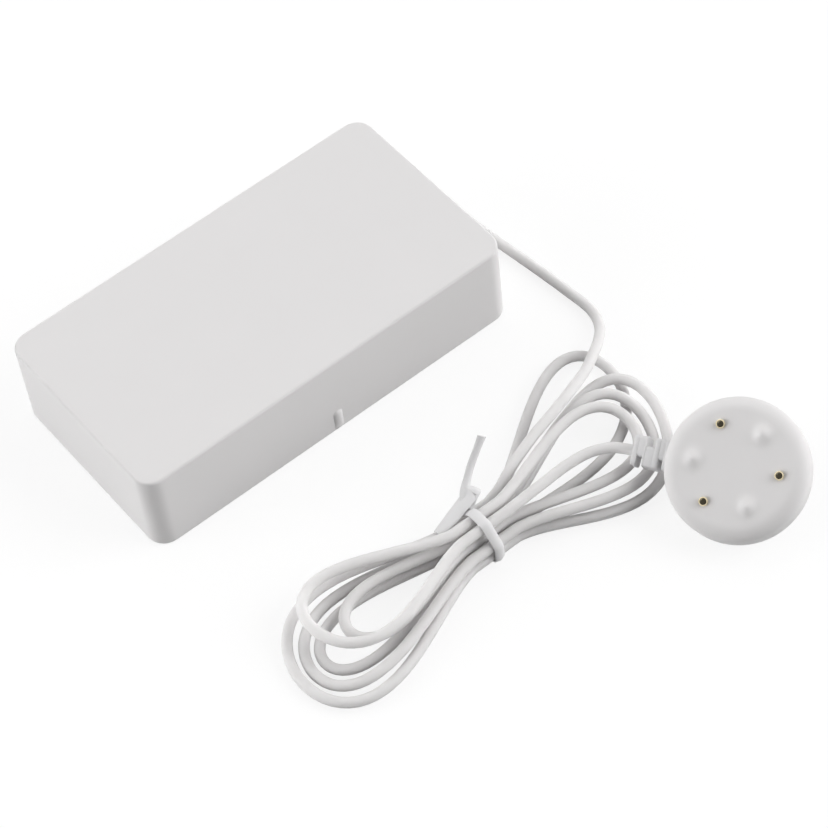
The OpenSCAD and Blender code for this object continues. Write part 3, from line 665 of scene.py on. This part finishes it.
def loop_point(loop, t):
    """A point of one loop, from t = 0 where it leaves the waist to t = 1 where it is back."""
    side, first, last, reach, half_width, shift, lean, tip_z, roll = loop
    (from_y, from_z), (to_y, to_z) = waist_slot(*first), waist_slot(*last)
    s = math.sin(math.pi * t)
    passed = t ** 3 * (6 * t * t - 15 * t + 10)
    bulge = -side * half_width * math.sin(2 * math.pi * t) * s * s / bulge_peak
    along = waist_run + (reach - waist_run) * s * s + lean * bulge
    across = from_y + (to_y - from_y) * passed + shift * s ** 2.5 + bulge
    level = from_z + (to_z - from_z) * passed
    tip = tip_z - roll * math.cos(math.pi * t)
    return Vector((hank_x + side * along, hank_y + across, level + (tip - level) * s ** 8))


def smooth_route(route, steps):
    """A smooth line through the points of a route, with a few steps to each span."""
    ends = [2 * route[0] - route[1], *route, 2 * route[-1] - route[-2]]
    line = []
    for a, b, c, d in zip(ends, ends[1:], ends[2:], ends[3:]):
        for i in range(steps):
            t = i / steps
            line.append(0.5 * (2 * b + (c - a) * t + (2 * a - 5 * b + 4 * c - d) * t * t
                               + (3 * b - a - 3 * c + d) * t ** 3))
    return line + [route[-1]]


def hank_end(column, layer):
    """Where a free end leaves the waist, in line with a strand."""
    across, level = waist_slot(column, layer)
    return Vector((hank_x + waist_run, hank_y + across, level))


probe_d, probe_t, probe_r = 28.0, 9.0, 3.0
probe_tilt, probe_lean, probe_turn = 28.0, 205.0, 98.0
probe_z = ((probe_d / 2 - probe_r) * math.sin(math.radians(probe_tilt))
           + (probe_t - probe_r) * math.cos(math.radians(probe_tilt)) + probe_r + 0.05)
probe_place = (Matrix.Translation((45.0, -89.0, probe_z))
               @ Matrix.Rotation(math.radians(probe_lean), 4, "Z")
               @ Matrix.Rotation(math.radians(probe_tilt), 4, "Y")
               @ Matrix.Rotation(math.radians(probe_turn), 4, "Z"))
boot_l = 6.5
boot_end = probe_place @ Vector((-probe_d / 2 - boot_l, 0, -probe_t / 2))
# Points of the free cord, from the grommet to the hank and from the hank to the boot.
lead_bends = [
    (46.55, 8.85, 6.9), (47.75, 8.35, 6.65), (48.8, 7.55, 6.2), (49.6, 6.5, 5.65), (50.1, 5.3, 5),
    (50.75, 2.8, 3.7), (51.5, -0.7, 2.45), (52.2, -4.4, 1.8), (52.9, -8.8, 1.4), (53.6, -13.4, 1.2),
    (54.4, -20, 1.2), (55.2, -28, 1.2), (55.6, -34.5, 1.2), (54.2, -39, 1.5), (51.2, -42.4, 2.7),
    (47.2, -45.5, 4.4), (42.5, -48.4, 5.6), (37, -50.8, 6.8), (31, -52.8, 7.4), (24, -54.8, 7.6),
    (17, -57, 7), (12, -58.8, 5.6)]
tail_bends = [
    (12, -64.8, 7.6), (18, -64.6, 7.7), (24, -64.4, 7.7), (29.4, -65, 7.7), (32.9, -66.7, 7.8),
    (34.9, -68.9, 8)]
cord_exit = Vector((cord_start_x, exit_y, exit_z))
lead = smooth_route([cord_exit, *map(Vector, lead_bends), hank_end(1, 1)], 6)
tail = smooth_route([hank_end(3, 2), *map(Vector, tail_bends), boot_end], 6)
hank = [loop_point(loop, i / loop_steps) for loop in hank_loops for i in range(loop_steps + 1)]
cord_line = lead + hank + tail
cord_length = sum((b - a).length for a, b in zip(cord_line, cord_line[1:]))
cord_curve = bpy.data.curves.new("cord", "CURVE")
cord_curve.dimensions = "3D"
cord_curve.bevel_depth = cord_d / 2 * MM
cord_curve.bevel_resolution = 6
cord_curve.use_fill_caps = True
cord_spline = cord_curve.splines.new("POLY")
cord_spline.points.add(len(cord_line) - 1)
for place, p in zip(cord_spline.points, cord_line):
    place.co = (*(p * MM), 1)
cord_spline.use_smooth = True
cord_curve.materials.append(cord_vinyl)
cord = add_object("cord", cord_curve)
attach(cord, "unit")
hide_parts("cord_lead", "cord_hank", "cord_tail")
dress(cord_vinyl, "cord_inner")


# Twist tie
# A wire in a flat white plastic film, wound once round the waist. One end stands up from the
# far side, and the other is folded over and lies back along the strands.
tie_film = soft_vinyl("tie_film", (0.82, 0.815, 0.82), 0.35)
tie_gap = 0.15
tie_half, tie_t, tie_turns = 1.05, 0.6, 90
film_lift, film_sink = 0.05, 0.4
waist_slots = [(1, 0), (4, 0), (1, 1), (4, 1), (2, 2), (3, 2)]
strip_section = [
    (-1.0, 0.0), (-1.06, 0.22), (-0.97, 0.46), (-0.55, 0.68), (0.0, 1.0),
    (0.55, 0.68), (0.97, 0.46), (1.06, 0.22), (1.0, 0.0)]


def band_ring(turn):
    """The tie's cross-section at one angle round the waist, on the outermost strand there."""
    out = Vector((0, math.cos(turn), math.sin(turn)))
    strands = [Vector((hank_x, hank_y + y, z)) for y, z in (waist_slot(*s) for s in waist_slots)]
    foot = max(strands, key=lambda p: p.dot(out)) + out * (cord_d / 2 + tie_gap)
    return [foot + Vector((a * tie_half, 0, 0)) + out * (film_lift + b * (tie_t - film_lift))
            for a, b in strip_section]


def strip(route, widths, facing, thick):
    """A flat strip along a route, with its width at each point and the way that its face looks."""
    line = smooth_route([Vector(p) for p in route], 8)
    last = len(line) - 1
    rings = []
    for i, p in enumerate(line):
        t = i / last * (len(route) - 1)
        k = min(int(t), len(route) - 2)
        width = widths[k] + (widths[k + 1] - widths[k]) * (t - k)
        face = Vector(facing[k]).lerp(Vector(facing[k + 1]), t - k)
        ahead = (line[min(i + 1, last)] - line[max(i - 1, 0)]).normalized()
        side = ahead.cross(face).normalized()
        face = side.cross(ahead)
        rings.append([p + side * (a * width / 2) + face * ((b - film_sink) * thick)
                      for a, b in strip_section])
    return loft(rings, capped=True)


tie_at = Vector((hank_x, hank_y, waist_slot(1, 1)[1]))
upright_end = [
    (0.3, 3.9, 2.9), (1.4, 6, 4.4), (3.4, 7.6, 5.7), (5.5, 8.7, 7.7), (7.6, 9.4, 9.9), (9.4, 9.9, 12)]
upright_widths = (2.2, 2.0, 1.7, 1.6, 1.6, 1.8)
upright_faces = [
    (0, 1, 0.6), (0.4, 0.3, 1), (-0.2, -1, 0.4), (-0.3, -1, 0.3), (-0.3, -1, 0.3), (-0.4, -1, 0.2)]
folded_end = [
    (0.3, 3.9, 2.9), (2.2, 5, 4), (3.4, 5.6, 4.5), (2.6, 5.5, 4.7), (0.4, 5.1, 3.9), (-3, 4.6, 2.8),
    (-7.2, 4.0, 1.8)]
folded_widths = (2.2, 2.6, 2.6, 2.8, 3.2, 3.0, 2.1)
folded_faces = [
    (0, 0.5, 1), (-0.6, 0.2, 1), (0.4, 0.1, 0.9), (0.9, 0, 0.6), (0, 0.2, 1), (0, 0.2, 1), (0, 0.2, 1)]
tie = loft([band_ring(a) for a in full_turn(tie_turns)], round_trip=True)
for route, widths, facing in ((upright_end, upright_widths, upright_faces),
                              (folded_end, folded_widths, folded_faces)):
    end = strip([tie_at + Vector(p) for p in route], widths, facing, tie_t)
    end_mesh = bpy.data.meshes.new("tie_end")
    end.to_mesh(end_mesh)
    end.free()
    tie.from_mesh(end_mesh)
    bpy.data.meshes.remove(end_mesh)
twist_tie = add_piece("tie", tie, tie_film, 50)
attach(twist_tie, "unit")
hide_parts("twist_tie")


# Cover
# One white moulding with rounded upright corners and small rounds on its edges. It drops over the
# base plate, has a notch for the grommet in its end wall, and a short raised rib on its front.
corner_r = 4.0
rim_z = 0.3
ceiling_z = unit_h - 2.0
edge_round = 0.45
rim_round = 0.25
rib_half, rib_proud, rib_foot, rib_h = 1.1, 0.45, 0.8, 5.8
rib_run_out, rib_foot_share = 2.2, 0.3
rib_radius = (rib_half ** 2 + rib_proud ** 2) / (2 * rib_proud)
rib_crown = rib_foot + rib_h - rib_radius
rib_xs = [rib_half * (i / 8 - 1) for i in range(17)]
beside_rib = (rib_half + 0.12, rib_half + 0.5, rib_half + 1.5)
front_xs = sorted([-x for x in beside_rib] + rib_xs + list(beside_rib))
flat_margin = 0.4
cover_plastic = moulded_plastic("cover_plastic", white_colour, 0.42, white_grain, white_relief)


def rib_height(x, z):
    """How far the front stands out at the rib: half-round, rounded above and running out below."""
    if z < rib_foot or abs(x) >= rib_half:
        return 0.0
    over = max(0.0, z - rib_crown)
    left = rib_radius ** 2 - x * x - over * over
    proud = max(0.0, math.sqrt(max(0.0, left)) - rib_radius + rib_proud)
    return proud * min(1.0, rib_foot_share + (1 - rib_foot_share) * (z - rib_foot) / rib_run_out)


def unit_ring(inset, z, radius, ribbed):
    """A level outline of the unit, set in from its sides, with points for the rib at the front."""
    half_l, half_w = unit_l / 2 - inset, unit_w / 2 - inset
    ring = []
    for sx, sy, start in ((1, -1, -90), (1, 1, 0), (-1, 1, 90), (-1, -1, 180)):
        middle = Vector((sx * (half_l - radius), sy * (half_w - radius), z))
        turns = quarter_turn(16, start)
        arc = [middle + radius * Vector((math.cos(a), math.sin(a), 0)) for a in turns]
        before = Vector((math.sin(turns[0]), -math.cos(turns[0]), 0)) * flat_margin
        after = Vector((-math.sin(turns[-1]), math.cos(turns[-1]), 0)) * flat_margin
        ring += [arc[0] + before, *arc, arc[-1] + after]
    for x in front_xs:
        ring.append((x, -half_w - (rib_height(x, z) if ribbed else 0.0), z))
    return ring


def fillet(radius, low, high):
    """Insets and heights of a quarter round that closes a wall: it starts upright at low."""
    return [(radius * (1 - math.cos(a)), low + (high - low) * math.sin(a)) for a in quarter_turn(6)]


inner_r = corner_r - wall
ceiling_round, ceiling_inset, rim_chamfer, top_inset = 0.4, 1.2, 0.2, edge_round + 0.5
ceiling_rows = reversed(fillet(ceiling_round, ceiling_z - ceiling_round, ceiling_z))
rim_rows = reversed(fillet(rim_round, rim_z + rim_round, rim_z))
top_rows = fillet(edge_round, unit_h - edge_round, unit_h)
# Outlines from the middle of the ceiling, down the inside and round the rim: inset, height, corner.
inside = [(wall + ceiling_inset, ceiling_z, inner_r - ceiling_inset)]
inside += [(wall + i, z, inner_r - i) for i, z in ceiling_rows]
inside += [(wall, rim_z + rim_chamfer, inner_r), (wall - rim_chamfer, rim_z, inner_r + rim_chamfer)]
inside += [(i, z, corner_r - i) for i, z in rim_rows]
rib_levels = [rib_foot - 0.02, rib_foot, rib_foot + rib_run_out / 2, rib_foot + rib_run_out]
rib_levels += [rib_crown + rib_radius * math.sin(a) for a in quarter_turn(14)]
rib_levels += [rib_foot + rib_h + 0.3, unit_h - edge_round - flat_margin]
top = [(i, z, corner_r - i) for i, z in top_rows]
top += [(top_inset, unit_h, corner_r - top_inset)]
cover_rings = [unit_ring(*outline, False) for outline in inside]
cover_rings += [unit_ring(0.0, z, corner_r, True) for z in rib_levels]
cover_rings += [unit_ring(*outline, False) for outline in top]
cover = add_piece("cover", loft(cover_rings, capped=True), cover_plastic)
notch_r, notch_foot = neck_r + grommet_gap + 0.2, -2.0
notch_ends = (unit_l / 2 - wall - 1, unit_l / 2 + 1)
notch_arc = [math.pi * i / 24 for i in range(25)]
notch_outline = on_circle(exit_y, exit_z, notch_r, notch_arc)
notch_outline += [(exit_y - notch_r, notch_foot), (exit_y + notch_r, notch_foot)]
notch_rings = [[(x, y, z) for y, z in notch_outline] for x in notch_ends]
notch = add_piece("notch", loft(notch_rings, capped=True), cover_plastic)


def cut(piece, cutter):
    """Takes a cutter out of a piece and leaves a plain mesh."""
    change = piece.modifiers.new("cut", "BOOLEAN")
    change.operation = "DIFFERENCE"
    change.solver = "EXACT"
    change.object = cutter
    make_plain(piece)
    bpy.data.objects.remove(cutter)


cut(cover, notch)
cover.data.set_sharp_from_angle(angle=math.radians(35))
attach(cover, "cover")
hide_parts("top_cover")


# Probe shells
# Two white mouldings that meet at the probe's middle. The upper one is smooth and flat with a
# round rim, and has three low feet moulded on it between the contacts.
probe_plastic = moulded_plastic("probe_plastic", white_colour, 0.4, white_grain, white_relief)
shell_t = 1.6
contact_ring, foot_ring = 8.7, 8.1
contact_angles = (0, 120, 240)
foot_angles = (60, 180, 300)
foot_h, foot_reach = 1.15, 3.0
well_r, well_depth, well_edge = 1.05, 0.06, 0.1
sectors = 240


def ease(low, high, value):
    t = min(1.0, max(0.0, (value - low) / (high - low)))
    return t * t * (3 - 2 * t)


def face_height(x, y):
    """Height of the probe's face: its feet, and a shallow well round each contact."""
    def distances(ring, angles):
        return [math.dist((x, y), p) for p in on_circle(0.0, 0.0, ring, map(math.radians, angles))]

    height = 0.0
    for away in distances(foot_ring, foot_angles):
        height += foot_h * math.exp(-((2 * away / foot_reach) ** 2))
    for away in distances(contact_ring, contact_angles):
        height -= well_depth * (1 - ease(well_r - well_edge, well_r, away))
    return height


def probe_ring(radius, z, shaped=False):
    ring = around_z(z, radius, (0, 0), sectors)
    return [probe_place @ Vector((x, y, z + (face_height(x, y) if shaped else 0.0))) for x, y, z in ring]


probe_mid = -probe_t / 2
seam, seam_gap = 0.12, 0.02
flat_r = probe_d / 2 - probe_r
hollow_r = probe_d / 2 - shell_t


def shell_wall(up):
    """Rings of a shell from its flat's edge round to the middle of its hollow; up is 1 or -1."""
    outline = [(flat_r + probe_r * math.sin(a), probe_t / 2 - probe_r * (1 - math.cos(a)))
               for a in quarter_turn(12)[1:]]
    outline += [(probe_d / 2, seam), (probe_d / 2 - seam, seam_gap), (hollow_r, seam_gap)]
    outline += [(hollow_r, probe_t / 2 - shell_t), (0.0, probe_t / 2 - shell_t)]
    return [probe_ring(radius, probe_mid + up * height) for radius, height in outline]


face_steps, back_steps = 44, 6
face_rings = [probe_ring(flat_r * i / face_steps, 0.0, True) for i in range(face_steps + 1)] + shell_wall(1)
probe_face = add_piece("probe_face_shell", loft(face_rings), probe_plastic)
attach(probe_face, "unit")
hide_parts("probe_face")
back_rings = [probe_ring(flat_r * i / back_steps, -probe_t) for i in range(back_steps + 1)] + shell_wall(-1)
probe_back = add_piece("probe_back_shell", loft(back_rings), probe_plastic)
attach(probe_back, "unit")
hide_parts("probe_back")


# Contacts
# Three turned brass pins with bright gold plating. Their ends stand just proud of the face, nearly
# flat with a rounded edge.
def gold_plating(name):
    made, shader, place = new_material(name, 0.16, 1.0)
    worn = noise(place, 1800.0, 3.0)
    deeper, paler = (0.9, 0.77, 0.5, 1), (0.95, 0.86, 0.64, 1)
    Field.feed(shader, {
        "Base Color": blend_colours(worn, deeper, paler), "Roughness": 0.1 + 0.12 * worn})
    return made


gold = gold_plating("gold")
pin_r, pin_h, pin_foot, pin_sides = 0.9, 0.8, -3.1, 40
pin_edge, pin_crown = 0.36, 0.06
crown_r, crown_z = pin_r - pin_edge, pin_h - pin_crown
pin_outline = [(0.0, pin_foot), (pin_r, pin_foot), (pin_r, crown_z - pin_edge)]
pin_outline += [(pin_r - pin_edge * (1 - math.cos(a)), crown_z - pin_edge * (1 - math.sin(a)))
                for a in quarter_turn(8)[1:]]
pin_outline += [(crown_r * part, pin_h - pin_crown * part ** 2) for part in (0.75, 0.5, 0.25, 0.0)]
for number, angle in enumerate(contact_angles, 1):
    on_ring = Matrix.Rotation(math.radians(angle), 4, "Z") @ Matrix.Translation((contact_ring, 0, 0))
    pin_rings = [[probe_place @ on_ring @ Vector(p) for p in around_z(z, r, (0, 0), pin_sides)]
                 for r, z in pin_outline]
    pin = add_piece(f"contact_{number}", loft(pin_rings), gold, 50)
    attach(pin, "unit")
    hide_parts(f"probe_contact_{number}")


# Boot
# A soft white strain relief where the cord enters the probe: a block slotted from each side in
# turn so that it can bend, moulded on a neck that the shells hold.
boot_half_w, boot_half_h, boot_round = 3.0, 2.5, 0.8
boot_core = 1.2
# Slots by their middle, side and width, then how far outlines near a slot's edge and near the end shrink.
boot_slots = [(0.7, -1, 1.0), (3.0, 1, 1.6), (4.85, -1, 1.2)]
slot_edge = [(-0.3, 0.0), (-0.12, -0.03), (-0.03, -0.1), (0.03, -0.1), (0.2, -0.06)]
boot_tip = [(6.1, 0.0), (6.3, -0.06), (6.42, -0.2), (6.48, -0.45)]


def boot_ring(out, low_y, high_y, grow=0.0):
    """An upright outline of the boot at a distance out from the probe's rim."""
    ring = []
    r = boot_round
    for y, z, start in ((high_y - r, boot_half_h - r, 0), (low_y + r, boot_half_h - r, 90),
                        (low_y + r, r - boot_half_h, 180), (high_y - r, r - boot_half_h, 270)):
        for across, up in on_circle(y, probe_mid + z, r + grow, quarter_turn(6, start)):
            ring.append(probe_place @ Vector((-probe_d / 2 - out, across, up)))
    return ring


def boot_sides(out):
    """How far the boot reaches to each side at a distance out: to its core where it is slotted."""
    sides = {-1: boot_half_w, 1: boot_half_w}
    for middle, side, width in boot_slots:
        if abs(out - middle) < width / 2:
            sides[side] = boot_core
    return -sides[-1], sides[1]


boot_neck = -1.2
boot_rings = [boot_ring(boot_neck, -boot_half_w, boot_half_w)]
boot_stations = []
for middle, side, width in boot_slots:
    for edge, way in ((middle - width / 2, 1), (middle + width / 2, -1)):
        boot_stations += [(edge + way * past, grow) for past, grow in slot_edge]
for out, grow in sorted(boot_stations):
    boot_rings.append(boot_ring(out, *boot_sides(out), grow))
for out, grow in boot_tip:
    boot_rings.append(boot_ring(out, -boot_half_w, boot_half_w, grow))
boot = add_piece("boot", loft(boot_rings, capped=True), soft_white, 40)
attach(boot, "unit")
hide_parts("probe_boot")


# Probe wires
# The cord's two thin cores inside the probe, in red vinyl, which run under its round board.
wire_skin = soft_vinyl("wire_skin", (0.45, 0.06, 0.05), 0.4)
dress(wire_skin, "probe_wires")


# Floor and light
# A plain white floor inside a white light tent. The tent is open on the camera's side, which
# shades the unit's front and near corner, and is lit harder from behind and from the right.
tent_level = 0.87
lamp_level = 3.85
# Patches of the tent, in degrees: their turn and height, and where they start and end to fade.
opening_at = (-132, 48, 47, 59)
back_lamp = (157, 7, 10, 40)
right_lamp = (-40, 30, 10, 32)
opening_shade = 0.95


def seen_directly(tree):
    """1 for rays that show the surroundings as they are, and 1 for those of them that a gloss sends."""
    kinds = ("Camera", "Glossy", "Transmission")
    straight, mirrored, through = (
        Field.node(tree, "ShaderNodeLightPath", output=f"Is {kind} Ray") for kind in kinds)
    return straight.math("MAXIMUM", straight.math("MAXIMUM", straight, mirrored), through), mirrored


def patch_of_sky(tree, way, turn, height, inner, outer):
    """1 inside a round patch of the sky, falling softly to 0 at its outer angle."""
    turn, height = math.radians(turn), math.radians(height)
    middle = (math.cos(height) * math.cos(turn), math.cos(height) * math.sin(turn), math.sin(height))
    near = Field.node(tree, "ShaderNodeVectorMath", {0: way, 1: middle}, "Value", operation="DOT_PRODUCT")
    edges = {1: math.cos(math.radians(outer)), 2: math.cos(math.radians(inner)), 3: 0.0, 4: 1.0}
    return Field.node(tree, "ShaderNodeMapRange", {0: near, **edges}, interpolation_type="SMOOTHSTEP")


world = bpy.data.worlds.new("tent")
scene.world = world
world.use_nodes = True
sky = world.node_tree
sky.nodes.clear()
way = Field.node(sky, "ShaderNodeTexCoord", output="Generated")
opening = patch_of_sky(sky, way, *opening_at)
tent = tent_level * (1 - opening)
for lamp in (back_lamp, right_lamp):
    tent = tent + lamp_level * patch_of_sky(sky, way, *lamp)
seen, mirrored = seen_directly(sky)
strength = seen * (1 - opening_shade * mirrored * opening) + (1 - seen) * tent
background = Field.node(sky, "ShaderNodeBackground", {"Color": (1, 1, 1, 1), "Strength": strength})
Field.feed(sky.nodes.new("ShaderNodeOutputWorld"), {"Surface": background})

floor_half, floor_drop = 3.0, 0.00002
floor_matte, floor_white, floor_glow, glow_share = 0.42, 0.95, 1.04, 0.82
floor_ways = ((-1, -1), (1, -1), (1, 1), (-1, 1))
floor_corners = [(x * floor_half, y * floor_half, -floor_drop) for x, y in floor_ways]
floor_mesh = bpy.data.meshes.new("floor")
floor_mesh.from_pydata(floor_corners, [], [(0, 1, 2, 3)])
floor = add_object("floor", floor_mesh)
floor_paint = bpy.data.materials.new("floor_paint")
floor_paint.use_nodes = True
paint = floor_paint.node_tree
paint.nodes.clear()
matte, white = (Field.node(paint, "ShaderNodeBsdfDiffuse", {"Color": (level, level, level, 1)})
                for level in (floor_matte, floor_white))
glow = Field.node(paint, "ShaderNodeEmission", {"Color": (1, 1, 1, 1), "Strength": floor_glow})
shaded = Field.node(paint, "ShaderNodeMixShader", {0: glow_share, 1: white, 2: glow})
mixed = Field.node(paint, "ShaderNodeMixShader", {0: seen_directly(paint)[0], 1: matte, 2: shaded})
Field.feed(paint.nodes.new("ShaderNodeOutputMaterial"), {"Surface": mixed})
floor_mesh.materials.append(floor_paint)
